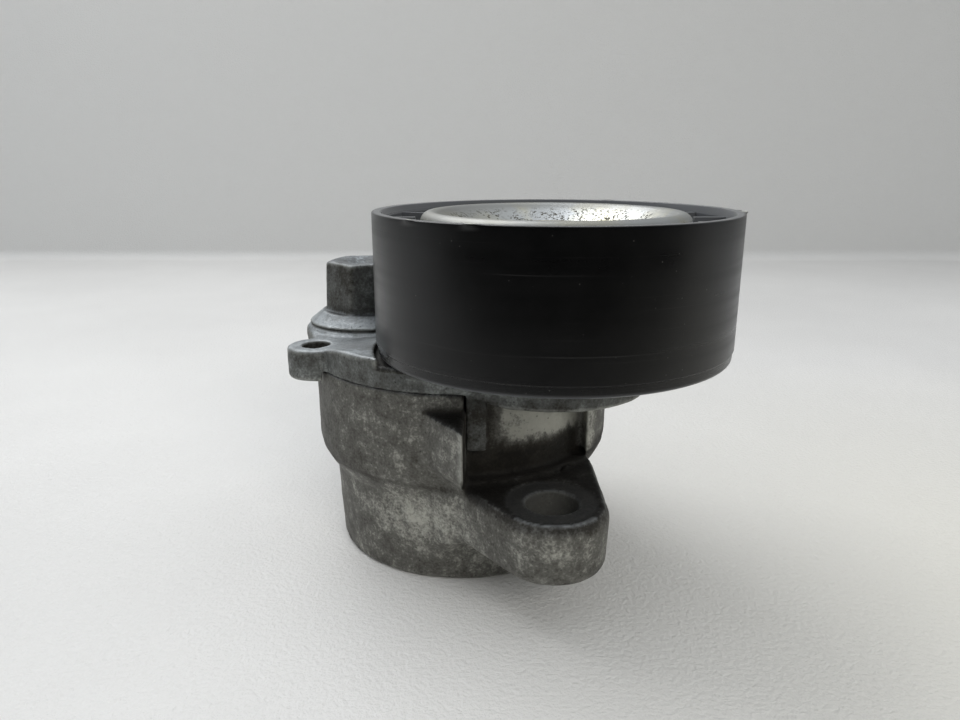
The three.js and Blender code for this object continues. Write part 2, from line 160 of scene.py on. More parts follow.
def soft_min(a, b, blend):
    """Joins two solids, with a fillet of about the given size."""
    share = unit(0.5 + 0.5 * (b - a) / blend)
    return b + (a - b) * share - blend * share * (1 - share)


def soft_max(a, b, blend):
    return -soft_min(-a, -b, blend)


def cut(body, hole, blend):
    """The body with a hole taken out of it."""
    return soft_max(body, -hole, blend)


def inside_outline(outline, u, v):
    """Signed distance to a closed polygon."""
    shape = np.broadcast(u, v).shape
    nearest = np.full(shape, 1e9)
    inside = np.zeros(shape, bool)
    for (x0, y0), (x1, y1) in zip(outline, outline[1:] + outline[:1]):
        ex, ey = x1 - x0, y1 - y0
        if ex * ex + ey * ey < 1e-12:
            continue
        t = unit(((u - x0) * ex + (v - y0) * ey) / (ex * ex + ey * ey))
        nearest = np.minimum(nearest, (u - x0 - t * ex) ** 2 + (v - y0 - t * ey) ** 2)
        if ey:
            inside ^= ((y0 > v) != (y1 > v)) & (u < x0 + (v - y0) * ex / ey)
    return np.where(inside, -1, 1) * np.sqrt(nearest)


def slab(flat, z, bottom, top, soft_bottom=0.5, soft_top=0.5):
    """A flat shape's distance raised from bottom to top, with softened edges."""
    return soft_max(soft_max(flat, z - top, soft_top), bottom - z, soft_bottom)


def cylinder(x, y, z, at, radius, bottom, top, soft=0.4):
    return slab(np.hypot(x - at[0], y - at[1]) - radius, z, bottom, top, soft, soft)


def turned_field(outline, x, y, z, at=(0, 0)):
    return inside_outline(outline, np.hypot(x - at[0], y - at[1]), z)


def six_flats(u, v, half_across, turn, blend):
    """An endless hexagonal bar, from half its width across the flats."""
    flats = None
    for k in range(6):
        angle = turn + radians(30 + 60 * k)
        side = u * cos(angle) + v * sin(angle) - half_across
        flats = side if flats is None else soft_max(flats, side, blend)
    return flats


# ---- Meshes ----

CORNERS = list(product((0, 1), repeat=3))
EDGES = [(a, b) for a in CORNERS for b in CORNERS if a < b and sum(map(abs, np.subtract(b, a))) == 1]
NOISE_VALUES = 4096
NOISE_PRIMES = (73856093, 19349663, 83492791)


def surface_net(values):
    """Vertices in grid units and quads of the zero surface of a grid of values."""
    corner = {c: values[tuple(slice(o, n - 1 + o) for o, n in zip(c, values.shape))] for c in CORNERS}
    below = sum((corner[c] < 0).astype(np.int8) for c in CORNERS)
    active = (below > 0) & (below < 8)
    index = np.full(active.shape, -1)
    index[active] = np.arange(active.sum())
    total, count = np.zeros((active.sum(), 3)), np.zeros(active.sum())
    for a, b in EDGES:
        va, vb = corner[a][active], corner[b][active]
        crosses = (va < 0) != (vb < 0)
        t = np.where(crosses, va / np.where(crosses, va - vb, 1), 0)[:, None]
        total += np.where(crosses[:, None], np.array(a) + t * np.subtract(b, a), 0)
        count += crosses
    vertices = np.argwhere(active) + total / count[:, None]
    quads = []
    for axis in range(3):
        u, v = (axis + 1) % 3, (axis + 2) % 3
        low = [slice(1, n - 1) for n in values.shape]
        low[axis] = slice(0, values.shape[axis] - 1)
        high = list(low)
        high[axis] = slice(1, values.shape[axis])
        start, end = values[tuple(low)] < 0, values[tuple(high)] < 0
        for chosen, flip in ((start & ~end, False), (~start & end, True)):
            ring = []
            for du, dv in ((0, 0), (1, 0), (1, 1), (0, 1)):
                cell = np.argwhere(chosen)
                cell[:, u] += du
                cell[:, v] += dv
                ring.append(index[tuple(cell.T)])
            quads.append(np.stack(ring[::-1] if flip else ring, 1))
    return vertices, np.concatenate(quads)


def lattice_noise(points, lump, seed):
    """Smooth noise from -1 to 1 whose lumps have the given size."""
    table = np.random.default_rng(seed).uniform(-1, 1, NOISE_VALUES)
    cell = np.floor(points / lump).astype(np.int64)
    part = points / lump - cell
    part = part * part * (3 - 2 * part)
    total = np.zeros(len(points))
    for corner in CORNERS:
        key = np.bitwise_xor.reduce((cell + corner) * NOISE_PRIMES, axis=1) % NOISE_VALUES
        total += np.prod(np.where(corner, part, 1 - part), axis=1) * table[key]
    return total


def slope(field, points, h=0.2):
    """Gradient of a field at points."""
    columns = []
    for axis in range(3):
        step = np.zeros(3)
        step[axis] = h
        columns.append(field(*(points + step).T) - field(*(points - step).T))
    return np.stack(columns, 1) / (2 * h)


def bend(field, points, h=0.9):
    """How sharply the surface turns: above 0 on outer edges, below 0 in inner corners."""
    total = -6 * field(*points.T)
    for axis, sign in product(range(3), (-1, 1)):
        step = np.zeros(3)
        step[axis] = sign * h
        total += field(*(points + step).T)
    return total / (h * h)


def relax(points, quads, amount):
    """Moves each point part of the way to the middle of its neighbours."""
    starts = np.concatenate([quads.T.ravel()] * 2)
    ends = np.concatenate([np.roll(quads, shift, axis=1).T.ravel() for shift in (-1, 1)])
    count = np.bincount(starts, minlength=len(points))
    middle = np.stack([np.bincount(starts, points[ends, k], len(points)) for k in range(3)], 1)
    return points + amount * (middle / count[:, None] - points)


def place(name, data):
    """Puts a new object in the scene."""
    obj = bpy.data.objects.new(name, data)
    bpy.context.scene.collection.objects.link(obj)
    return obj


def new_object(name, points, faces, sharp_angle=None):
    """A mesh object from millimetre points, smooth shaded, with sharp edges past an angle."""
    mesh = bpy.data.meshes.new(name)
    mesh.from_pydata((np.asarray(points) * MM).tolist(), [], [list(f) for f in faces])
    mesh.update()
    tidy_mesh(mesh, sharp_angle)
    return place(name, mesh)


def tidy_mesh(mesh, sharp_angle):
    """Turns faces outwards and shades them smooth, with edges past the angle kept sharp."""
    bm = bmesh.new()
    bm.from_mesh(mesh)
    bmesh.ops.recalc_face_normals(bm, faces=bm.faces)
    for face in bm.faces:
        face.smooth = True
    if sharp_angle is not None:
        for edge in bm.edges:
            edge.smooth = len(edge.link_faces) != 2 or edge.calc_face_angle(0) < sharp_angle
    bm.to_mesh(mesh)
    bm.free()


def sculpt(name, field, low, high, step, grain=None, finish=None):
    """The surface of a field as a mesh, with notes on each point for the materials."""
    step = step * COARSEN
    axes = [np.arange(low[i] - 2.4 * step, high[i] + 3 * step, step) for i in range(3)]
    x, y, z = np.meshgrid(*axes, indexing="ij", sparse=True)
    values = np.broadcast_to(field(x, y, z), [len(a) for a in axes])
    points, quads = surface_net(values)
    points = points * step + [a[0] for a in axes]
    for _ in range(3):
        points = relax(points, quads, 0.5)
        for _ in range(2):
            normal = slope(field, points)
            size = np.maximum((normal ** 2).sum(1, keepdims=True), 0.2)
            points = points - field(*points.T)[:, None] * normal / size
    normal = slope(field, points)
    normal /= np.linalg.norm(normal, axis=1, keepdims=True) + 1e-9
    notes = {"edge": bend(field, points), "open": field(*(points + 4 * normal).T) / 4}
    if finish is not None:
        finish(points, normal, notes)
    if grain is not None:
        points = points + normal * grain(points, notes)[:, None]
    obj = new_object(name, points, quads)
    for key, note in notes.items():
        attribute = obj.data.attributes.new(key, "FLOAT", "POINT")
        attribute.data.foreach_set("value", np.asarray(note, np.float32))
    return obj


def lathe_mesh(outline, at=(0, 0), sides=SIDES, sweep=None):
    """Points and faces of a closed outline of (radius, height) turned round a vertical line."""
    points, faces, rows = [], [], []
    angles = turns(sides)
    if sweep is not None:
        angles = [sweep[0] + (sweep[1] - sweep[0]) * j / sides for j in range(sides + 1)]
    for radius, height in outline:
        if radius < 1e-6:
            rows.append([len(points)] * len(angles))
            points.append((at[0], at[1], height))
        else:
            rows.append(list(range(len(points), len(points) + len(angles))))
            points += [(at[0] + radius * cos(a), at[1] + radius * sin(a), height) for a in angles]
    for i, row in enumerate(rows):
        following = rows[(i + 1) % len(rows)]
        for j in range(sides):
            k = (j + 1) % len(angles)
            face = list(dict.fromkeys([row[j], row[k], following[k], following[j]]))
            if len(face) > 2:
                faces.append(face)
    if sweep is not None:
        faces += [[row[0] for row in rows], [row[-1] for row in rows][::-1]]
    return points, faces


def lathe(name, corners, at=(0, 0), sides=SIDES, steps=6, sweep=None):
    """A turned piece from an outline of (radius, height, rounding) corners."""
    points, faces = lathe_mesh(rounded(corners, steps), at, sides, sweep)
    return new_object(name, points, faces, radians(30))


def ring_corners(inner, outer, bottom, top, soft=0.2):
    """Corners of a plain ring's cross section."""
    return [(inner, bottom, soft), (outer, bottom, soft), (outer, top, soft), (inner, top, soft)]


def join_solids(obj, others):
    """Joins other closed objects into obj and removes them."""
    for other in others:
        modifier = obj.modifiers.new("join", "BOOLEAN")
        modifier.operation = "UNION"
        modifier.solver = "EXACT"
        modifier.object = other
    graph = bpy.context.evaluated_depsgraph_get()
    mesh = bpy.data.meshes.new_from_object(obj.evaluated_get(graph), depsgraph=graph)
    obj.modifiers.clear()
    obj.data = mesh
    for other in others:
        bpy.data.objects.remove(other)
    tidy_mesh(mesh, radians(30))


# ---- Base ----

DRUM_OUTLINE = rounded([
    (0, 0, 0), (FOOT_RADIUS + 0.3, 0, 1.3), (NECK_RADIUS, NECK_TOP, 1.6), (33.2, 22.4, 1.5), (34.6, 25.0, 2),
    (RING_RADIUS, 27.4, 1), (RING_RADIUS, SEAM_LOW, 0.12), (CAVITY_RADIUS, SEAM_LOW, 0.5),
    (CAVITY_RADIUS, CAVITY_FLOOR, 1.5), (9, CAVITY_FLOOR, 1), (9, 20, 0.4), (6.1, 20, 0),
    (6.1, 2, 0), (0, 2, 0),
])
EAR_OUTLINE = (
    [(EAR_SIDE_X, EAR_SIDE_Y)]
    + arc(EAR_X, EAR_Y, EAR_RADIUS, EAR_SIDE_FACING, 2 * pi, 24)
    + [(EAR_X + EAR_RADIUS, -20.5), (22, -18), (-2, -27.5)]
)
GUSSET_OUTLINE = [(-6.9, -34.1), (POCKET_LEFT, GUSSET_TIP_Y), (POCKET_LEFT, -29), (-5, -29)]
EAR_MARK_X, EAR_MARK_Y, EAR_MARK_RADIUS = 24.6, -28.3, 3.0
PAD_X, PAD_Y, PAD_Z = -9.8, -29.2, 16.1


def pocket_field(x, y, z):
    """The gap in the wide ring in which the arm's stop swings."""
    outside_wall = POCKET_WALL - np.hypot(x, y)
    flat = soft_max(outside_wall, POCKET_LEFT - x, 0.8)
    flat = soft_max(flat, x - POCKET_RIGHT, 3.2)
    return soft_max(soft_max(flat, y + 5, 0.2), EAR_TOP + 0.1 - z, 0.8)


def ear_field(x, y, z):
    """A mounting ear with a bevelled top edge and sides that draw in towards its underside."""
    flat = inside_outline(EAR_OUTLINE, x, y) + 0.045 * np.clip(EAR_TOP - 2 - z, 0, 20)
    bevel = (flat + 0.55 * (z - EAR_TOP + 2.1)) / 1.14
    body = soft_max(slab(flat, z, EAR_BOTTOM, EAR_TOP, 2.4, 0.5), bevel, 0.5)
    return soft_max(body, CAVITY_RADIUS + 1.5 - np.hypot(x, y), 0.2)


def ear_joined(body, x, y, z):
    """The body with an ear, and a wide fillet down the side that slants away from the drum."""
    slanted = unit((9 - x) / 12) * unit((25 - z) / 5)
    return soft_min(body, ear_field(x, y, z), 1.8 + 8 * slanted)


def gusset_field(x, y, z):
    """The upright web beside the pocket, cut off below along a slope."""
    out = (x - EAR_SIDE_X) * cos(EAR_SIDE_FACING) + (y - EAR_SIDE_Y) * sin(EAR_SIDE_FACING)
    underside = (EAR_TOP + 1.15 * (out - 0.1) - z) * 0.66
    web = slab(inside_outline(GUSSET_OUTLINE, x, y), z, EAR_TOP - 1, GUSSET_TOP, 0.4, 0.9)
    return soft_max(web, underside, 0.8)


def ear_cuts(body, x, y, z):
    """The spot face, the bolt hole and the round ejector mark of an ear."""
    away = np.hypot(x - EAR_X, y - EAR_Y)
    spot = slab(away - SPOT_FACE, z, EAR_TOP - 0.35, EAR_TOP + 9, 0.2, 0.2)
    mark = np.abs(np.hypot(x - EAR_MARK_X, y - EAR_MARK_Y) - EAR_MARK_RADIUS) - 0.3
    mark = slab(mark, z, EAR_TOP - 0.25, EAR_TOP + 3, 0.2, 0.2)
    body = cut(cut(body, spot, 0.25), mark, 0.2)
    return soft_max(body, EAR_HOLE - away, 0.6)


def cast_pad(x, y, z):
    """A low raised patch on the front of the drum."""
    along = ((x - PAD_X) * 0.95 - (y - PAD_Y) * 0.32) * 0.94 + (z - PAD_Z) * 0.34
    up = (z - PAD_Z) * 0.94 - (x - PAD_X) * 0.34
    block = soft_max(np.abs(along) - 2.6, np.abs(up) - 1.9, 0.8)
    return soft_max(block, np.hypot(x, y) - 31.45, 0.3)


def base_field(x, y, z):
    """The whole housing: drum, pocket, two ears half a turn apart, web and pad."""
    drum = turned_field(DRUM_OUTLINE, x, y, z)
    drum = cut(drum, pocket_field(x, y, z), 0.8)
    body = ear_joined(ear_joined(drum, x, y, z), -x, -y, z)
    body = soft_min(body, gusset_field(x, y, z), 1.6)
    body = soft_min(body, soft_max(cast_pad(x, y, z), 29 - np.hypot(x, y), 0.2), 0.6)
    return ear_cuts(ear_cuts(body, x, y, z), -x, -y, z)


def near(value, target, width):
    """1 at the target, falling to 0 a width away from it."""
    return unit(1 - np.abs(value - target) / width)


def cast_grain(points, notes):
    """Small lumps of a cast skin, left out on machined faces and where the arm meets the drum."""
    lumps = (0.07 * lattice_noise(points, 5.0, 1) + 0.05 * lattice_noise(points, 2.2, 2)
             + 0.03 * lattice_noise(points, 1.1, 3))
    return lumps * (1 - notes["bare"]) * (1 - near(points[:, 2], SEAM_HIGH, 1.2))


def quiet_seam(points, notes):
    """Keeps edge wear and painted highlight, dirt and painted shade off the fine line between arm and drum.
    """
    seam = near(points[:, 2], SEAM_HIGH, 1.8) * (np.hypot(points[:, 0], points[:, 1]) > 33)
    notes["edge"] = notes["edge"] * (1 - unit(1.6 * seam))
    notes["open"] = np.maximum(notes["open"], 0.8 * seam)


def base_finish(points, normal, notes):
    """Notes for each point of the housing its machined finish, a painted glint and its painted light and
    shade.
    """
    front = points[:, 1] < 0
    x, y = np.where(front, points[:, 0], -points[:, 0]), -np.abs(points[:, 1])
    z = points[:, 2]
    out = np.hypot(x, y)
    away = np.hypot(x - EAR_X, y - EAR_Y)
    # Painted shade on the ears' tops.
    ear_top = near(z, EAR_TOP, 1.2) * (normal[:, 2] > 0.6) * (out > 30)
    spot = near(z, EAR_TOP - 0.35, 0.3) * (away < SPOT_FACE)
    # Painted shade inside the bolt holes, which are also machined.
    hole = (away < EAR_HOLE + 0.25) * (z < EAR_TOP)
    # Painted light on the pocket's wall, and painted shade (shade) on its left and low parts.
    wall = front * near(out, POCKET_WALL, 0.6) * (z > EAR_TOP + 1) * (x > POCKET_LEFT)
    painted_light = wall * unit((x - 7) / 8) * unit((z - 30.5) / 3.5)
    painted_light = painted_light * (0.85 + 0.5 * lattice_noise(points, 1.4, 7))
    shade = wall * np.maximum(unit((9 - x) / 5), unit((34 - z) / 4))
    # Painted light in the corner at the pocket's right end, which also lifts the painted shade there.
    runout = front * near(x, POCKET_RIGHT, 3.5) * (out > POCKET_WALL - 1) * (z > EAR_TOP + 1.5)
    # Painted shade on the band of the ears' bevel.
    bevel = near(z, EAR_TOP - 1.3, 1.2) * (out > 33) * (away > EAR_RADIUS - 2)
    # Painted shade on the pocket's floor and on its left end wall (pocket_side), which lose their bright
    # edges.
    pocket_floor = front * (x > POCKET_LEFT - 0.5) * (out > 29) * near(z, EAR_TOP + 1.5, 3)
    pocket_floor = pocket_floor * (away > SPOT_FACE)
    pocket_side = front * near(x, POCKET_LEFT, 0.7) * (normal[:, 0] > 0.5) * (z > EAR_TOP)
    # Painted highlight: the ears' front top edges take the machined colour as a thin bright line.
    lip = near(z, EAR_TOP - 0.2, 0.4) * (away > EAR_RADIUS - 1.5) * (y < -49)
    # Painted light on the lower front of the drum.
    low_front = front * near(z, 15, 9) * near(x, -8, 14) * (out > 29)
    # Painted shadow on the top of the web beside the pocket.
    web_top = front * near(z, GUSSET_TOP, 2.4) * (x < 3) * unit((out - 33.2) / 1.5)
    web_top = web_top * unit(2 * normal[:, 2])
    # Painted shade on the front left of the ring.
    left_ring = front * near(x, -30, 14) * (z > NECK_TOP + 4)
    # dark gathers the painted shade; tone adds up all the painted light and shade.
    dark = np.max([2.4 * ear_top, 2.2 * pocket_floor, 2.0 * shade, 1.4 * pocket_side], axis=0)
    notes["tone"] = (2.2 * painted_light + 0.9 * runout + 1.1 * low_front - dark * (1 - runout)
                     - 2.6 * web_top - 1.1 * hole - 0.7 * bevel - 0.3 * left_ring)
    notes["bare"] = np.max([0.1 * spot, 0.3 * hole, 0.8 * lip * lip], axis=0)
    notes["edge"] = notes["edge"] * (1 - pocket_floor) * (1 - 0.25 * near(away, EAR_HOLE + 0.3, 1))
    notes["open"] = np.max([notes["open"], unit(painted_light), 0.7 * runout], axis=0)
    quiet_seam(points, notes)


base = sculpt("cast_base", base_field, base_low, base_high, 0.61, cast_grain, base_finish)


# ---- Arm ----

PLATE = (0, 0, RING_RADIUS - 0.2)
HEX_LOBE_OUTLINE = belt_outline(PLATE, (HEX_X, HEX_Y, HEX_LOBE))
PULLEY_LOBE_OUTLINE = belt_outline((0, 0, RING_RADIUS + 0.05), (PULLEY_X, PULLEY_Y, PULLEY_LOBE))
LOCK_OUTLINE = belt_outline((0, 0, 16), (LOCK_X, LOCK_Y, LOCK_RADIUS))
BOSS_EDGE, BOSS_EDGE_Z = 14.6, 51.2
BOSS_OUTLINE = rounded([
    (0, 48, 0), (14.7, 48, 0), (14.6, 50.3, 0.3), (13.9, 50.7, 0.15), (BOSS_EDGE, BOSS_EDGE_Z, 0.2),
    (11.2, HEX_BOTTOM, 0.5), (0, HEX_BOTTOM, 0),
])
PEDESTAL_OUTLINE = rounded([
    (0, 47, 0), (15.4, 47, 0), (15, PLATE_TOP, 0), (13.2, 51, 0), (12.5, 53, 0),
    (12.5, 56.5, 0.4), (0, 56.5, 0),
])


def hexagon_field(x, y, z):
    """The tapered wrench hexagon with a bevelled top and a shallow dimple."""
    u, v, up = x - HEX_X, y - HEX_Y, z - HEX_BOTTOM
    radius = HEX_BOTTOM_RADIUS + (HEX_TOP_RADIUS - HEX_BOTTOM_RADIUS) * up / (HEX_TOP - HEX_BOTTOM)
    flats = six_flats(u, v, radius * cos(radians(30)), HEX_TURN, 0.8)
    across = np.hypot(u, v)
    crown = (across - HEX_CROWN + 1.5 * (z - HEX_TOP)) / 1.8
    solid = soft_max(soft_max(flats, z - HEX_TOP, 0.6), crown, 0.8)
    solid = soft_max(solid, HEX_BOTTOM - 3 - z, 0.4)
    dimple = np.sqrt(across ** 2 + (z - HEX_TOP - HEX_DIMPLE_RISE) ** 2) - HEX_DIMPLE
    return cut(solid, dimple, 0.8)


def lobes_field(x, y, z):
    """The parts of the lobes that hang below the plate, outside the drum."""
    skirt = LOBE_BOTTOM + 0.3 + 0.27 * np.clip(10 - x, 0, 18)
    pulley_lobe = slab(inside_outline(PULLEY_LOBE_OUTLINE, x, y), z, skirt, PLATE_TOP, 0.7, 0.7)
    lock_ear = slab(inside_outline(LOCK_OUTLINE, x, y), z, LOCK_BOTTOM, PLATE_TOP, 1.2, 0.9)
    pulley_lobe = soft_max(pulley_lobe, 14 - 0.743 * x + 0.669 * y, 2.0)
    lobes = soft_min(pulley_lobe, lock_ear, 1.0)
    drum_room = cylinder(x, y, z, (0, 0), RING_RADIUS + 0.8, 30, PLATE_BOTTOM, 0.4)
    return cut(lobes, drum_room, 0.5)


def stop_field(x, y, z):
    """The tab that hangs into the base's pocket."""
    angle = np.arctan2(y, x)
    across = np.hypot(x, y)
    flat = soft_max(across - STOP_OUTER, STOP_INNER - across, 0.5)
    flat = soft_max(flat, (STOP_START - angle) * STOP_MIDDLE, 0.5)
    flat = soft_max(flat, (angle - STOP_END) * STOP_MIDDLE, 0.5)
    return slab(flat, z, STOP_BOTTOM, PLATE_TOP - 2, 0.7, 0.2)


def plate_rise(x, y):
    """How far the plate's top climbs from the lock ear towards the pulley."""
    along = unit(((x + 31) * 0.75 - (y + 14) * 0.65) / 13)
    return 1.5 * along * along * (3 - 2 * along)


def arm_solid(x, y, z):
    """The arm before its holes: plate, lobes, stop, boss, pedestal and pivot hub."""
    top = PLATE_TOP + plate_rise(x, y)
    disc = slab(np.hypot(x, y) - RING_RADIUS, z, SEAM_HIGH, top, 0.12, 0.8)
    hex_lobe = slab(inside_outline(HEX_LOBE_OUTLINE, x, y), z, PLATE_BOTTOM, top, 0.9, 0.9)
    plate = soft_min(np.minimum(disc, hex_lobe), lobes_field(x, y, z), 0.5)
    plate = soft_min(plate, stop_field(x, y, z), 0.8)
    boss = turned_field(BOSS_OUTLINE, x, y, z, (HEX_X, HEX_Y))
    boss = soft_min(boss, hexagon_field(x, y, z), 0.9)
    body = soft_min(plate, boss, 1.6)
    room = cylinder(x, y, z, PULLEY_AXIS, PULLEY_ROOM, PLATE_TOP, ABOVE, 0.5)
    body = cut(body, room, 0.6)
    body = soft_min(body, turned_field(PEDESTAL_OUTLINE, x, y, z, PULLEY_AXIS), 1.0)
    return soft_min(body, cylinder(x, y, z, (0, 0), PIVOT_HUB, PIVOT_HUB_BOTTOM, PLATE_BOTTOM + 1), 1.5)


def arm_field(x, y, z):
    """The arm with its bolt hole, lock hole, pivot bore, counterbore and seal groove."""
    across = np.hypot(x, y)
    bolt_hole = cylinder(x, y, z, PULLEY_AXIS, BOLT_HOLE, BOLT_HOLE_FLOOR, ABOVE, 0.3)
    body = cut(arm_solid(x, y, z), bolt_hole, 0.4)
    body = soft_max(body, LOCK_HOLE - np.hypot(x - LOCK_X, y - LOCK_Y), 0.6)
    body = soft_max(body, PIVOT_BORE - across, 0.4)
    body = cut(body, cylinder(x, y, z, (0, 0), COUNTERBORE, COUNTERBORE_FLOOR, ABOVE, 0.2), 0.4)
    groove = slab(np.abs(across - SEAL_GROOVE) - SEAL_GROOVE_HALF, z, 40, SEAL_GROOVE_TOP, 0.2, 0.3)
    return cut(body, groove, 0.3)


def arm_finish(points, normal, notes):
    """Notes for each point of the arm its machined finish and its tone, mostly painted light and shade."""
    x, y, z = points.T
    upward = unit((normal[:, 2] - 0.5) * 3)
    from_hex = np.hypot(x - HEX_X, y - HEX_Y)
    # Painted shade on the hex's sides, and painted light on those facing +x (lit_face).
    hex_side = (from_hex < 11.6) * (z > HEX_BOTTOM + 0.3) * (1 - upward)
    plate_top = upward * near(z, PLATE_TOP + 0.6, 2.2)
    # Painted shade, slight, on the skirt's sides.
    skirt = (1 - upward) * near(z, 47, 3.4) * (np.hypot(x, y) > 27)
    # Painted shade inside the lock hole.
    bore = (np.hypot(x - LOCK_X, y - LOCK_Y) < LOCK_HOLE + 0.5) * (1 - upward)
    counterbore = (np.hypot(x, y) < COUNTERBORE + 0.3) * (z > PLATE_BOTTOM)
    cone = (from_hex > 10.8) * (from_hex < 16) * near(z, 52.5, 2.5)
    # Painted shade in the groove round the boss's edge.
    groove = near(z, BOSS_EDGE_Z - 0.5, 0.4) * near(from_hex, BOSS_EDGE - 0.4, 1)
    # Painted shade on the stop tab, deep on its right side (stop_side); its edges lose their bright edge.
    stop = (z < PLATE_BOTTOM - 1) * (y < -30) * (x < 8)
    stop_side = stop * (normal[:, 0] > 0.4)
    # Painted light on the front of the skirt, and along its bottom edge wear with a painted glint.
    front_skirt = skirt * near(x, 10, 18) * (y < -25)
    edge_wear_and_glint = front_skirt * near(z, LOBE_BOTTOM + 0.5, 1.2)
    from_pulley = np.hypot(x - PULLEY_X, y - PULLEY_Y)
    shaded = (from_pulley > 16) * (from_pulley < PULLEY_ROOM + 0.3) * (z > PLATE_TOP - 0.7)
    lit_face = hex_side * unit(normal[:, 0])
    # Painted light (lit_face, front_skirt) and painted shade (darker, shaded); the plate's top and cone are
    # made lighter.
    lighter = 0.65 * plate_top + 0.7 * cone + 2.2 * lit_face + 1.6 * front_skirt
    darker = 0.5 * hex_side + 0.1 * skirt + 0.8 * bore + 0.5 * stop + 1.6 * (stop_side + groove)
    notes["tone"] = lighter - darker - 2 * shaded
    notes["edge"] = notes["edge"] * (1 - 0.8 * stop) + 1.8 * edge_wear_and_glint
    notes["bare"] = np.maximum(0.7 * counterbore, 0.5 * np.maximum(plate_top, cone) * (1 - shaded))
    quiet_seam(points, notes)


arm = sculpt("cast_arm", arm_field, arm_low, arm_high, 0.48, cast_grain, arm_finish)


# ---- Pulley ----

# Each nick's place and width round the rim, in degrees, and its height in millimetres.
BURRS = [(-138, 1.6, 0.5), (-117, 1.8, 0.6), (-11, 2.2, 0.6), (-4, 1.5, 0.35), (64, 2, 0.4)]


def rib_solid(corners, angle):
    """A flat web that stands on a radius of the pulley, from its (radius, height) outline."""
    count = len(corners)
    c, s = cos(angle), sin(angle)
    points = []
    for side in (-RIB_THICKNESS / 2, RIB_THICKNESS / 2):
        for radius, height in corners:
            points.append((PULLEY_X + radius * c - side * s, PULLEY_Y + radius * s + side * c, height))
    faces = [list(range(count)), list(range(2 * count - 1, count - 1, -1))]
    faces += [[k, (k + 1) % count, count + (k + 1) % count, count + k] for k in range(count)]
    return new_object("rib", points, faces)


def raise_burrs(mesh):
    """Pulls out small nicks of plastic on the rim's top edge."""
    for vertex in mesh.vertices:
        x, y, z = (v / MM for v in vertex.co)
        across = hypot(x - PULLEY_X, y - PULLEY_Y)
        if across < PULLEY_RADIUS - 0.7 or z < PULLEY_TOP - 0.5:
            continue
        turn = degrees(atan2(y - PULLEY_Y, x - PULLEY_X))
        for angle, width, height in BURRS:
            push = height * exp(-((turn - angle) / width) ** 2)
            vertex.co.x += push * MM * (x - PULLEY_X) / across
            vertex.co.y += push * MM * (y - PULLEY_Y) / across
            vertex.co.z += 0.4 * push * MM


def make_pulley():
    """The moulding: hub, web and rim turned in one, with ribs above and below the web."""
    corners = [
        (HUB_INNER, 55.5, 0), (HUB_OUTER, 55.5, 0.4), (HUB_OUTER, WEB_BOTTOM, 1), (RIM_INNER, WEB_BOTTOM, 1),
        (RIM_INNER, PULLEY_BOTTOM, 0.4), (PULLEY_RADIUS - 0.3, PULLEY_BOTTOM, 0.9),
        (PULLEY_RADIUS - 0.3, PULLEY_BOTTOM + 2.2, 0.08), (PULLEY_RADIUS, PULLEY_BOTTOM + 2.5, 0.2),
        (PULLEY_RADIUS, PULLEY_TOP - 1.3, 0), (PULLEY_RADIUS, PULLEY_TOP - 0.7, 0),
        (PULLEY_RADIUS, PULLEY_TOP, 0.25),
        (PULLEY_RADIUS - 1.75, PULLEY_TOP, 0.25), (PULLEY_RADIUS - 2.3, PULLEY_TOP - 1.6, 0.4),
        (RIM_INNER - 0.4, WEB_TOP, 1), (HUB_OUTER, WEB_TOP, 1), (HUB_OUTER, 72, 0.4), (HUB_INNER, 72, 0.3),
    ]
    pulley = lathe("pulley_moulding", corners, PULLEY_AXIS, FINE_SIDES, 5)
    rib_end = RIM_INNER + 0.6
    upper = [(22, 65), (rib_end, 65), (rib_end, RIB_TOP), (29.2, RIB_TOP), (28.7, 75.5), (22, 71)]
    lower = [(22, 63), (22, 56), (rib_end, 54.5), (rib_end, 63)]
    ribs = []
    for angle in turns(RIBS):
        ribs += [rib_solid(upper, angle), rib_solid(lower, angle)]
    join_solids(pulley, ribs)
    raise_burrs(pulley.data)
    return pulley


pulley = make_pulley()


def make_upper_shield():
    """Pressed steel dish: flat under the bolt head, a cone, then a rolled crown."""
    crown = (25.9, 77.7)
    outer = arc(*crown, 2.2, radians(138), radians(-5), 14)
    inner = arc(*crown, 1.4, radians(-5), radians(138), 14)
    outline = [(5.3, 70.25), (10.0, 70.25), (10.6, 70.35), *outer, *inner, (10.9, 69.55), (10.3, 69.45),
               (5.3, 69.45)]
    points, faces = lathe_mesh(outline, PULLEY_AXIS, FINE_SIDES)
    return new_object("dust_shield_dish", points, faces, radians(40))


upper_shield = make_upper_shield()


# ---- Shields, bolt and bearing ----

BEARING_BOTTOM, BEARING_TOP, BALL_HEIGHT = 57.4, 69.4, 63.4
PITCH, BALL_RADIUS, BALLS = 14.25, 3.3, 8
BALL_ROOM, GROOVE_RADIUS = BALL_RADIUS + 0.25, BALL_RADIUS + 0.22
BOLT_ACROSS, BOLT_CROWN, BOLT_DISH = 16.0, 8.3, 5.6
BOLT_TOP, BOLT_FLANGE_TOP, BOLT_FLANGE_BOTTOM, BOLT_FLANGE = 77.2, 71.8, 70.3, 9.0
BOLT_SHANK, BOLT_TIP, THREAD_TOP, THREAD_PITCH = 4.95, 46.8, 57.0, 1.5


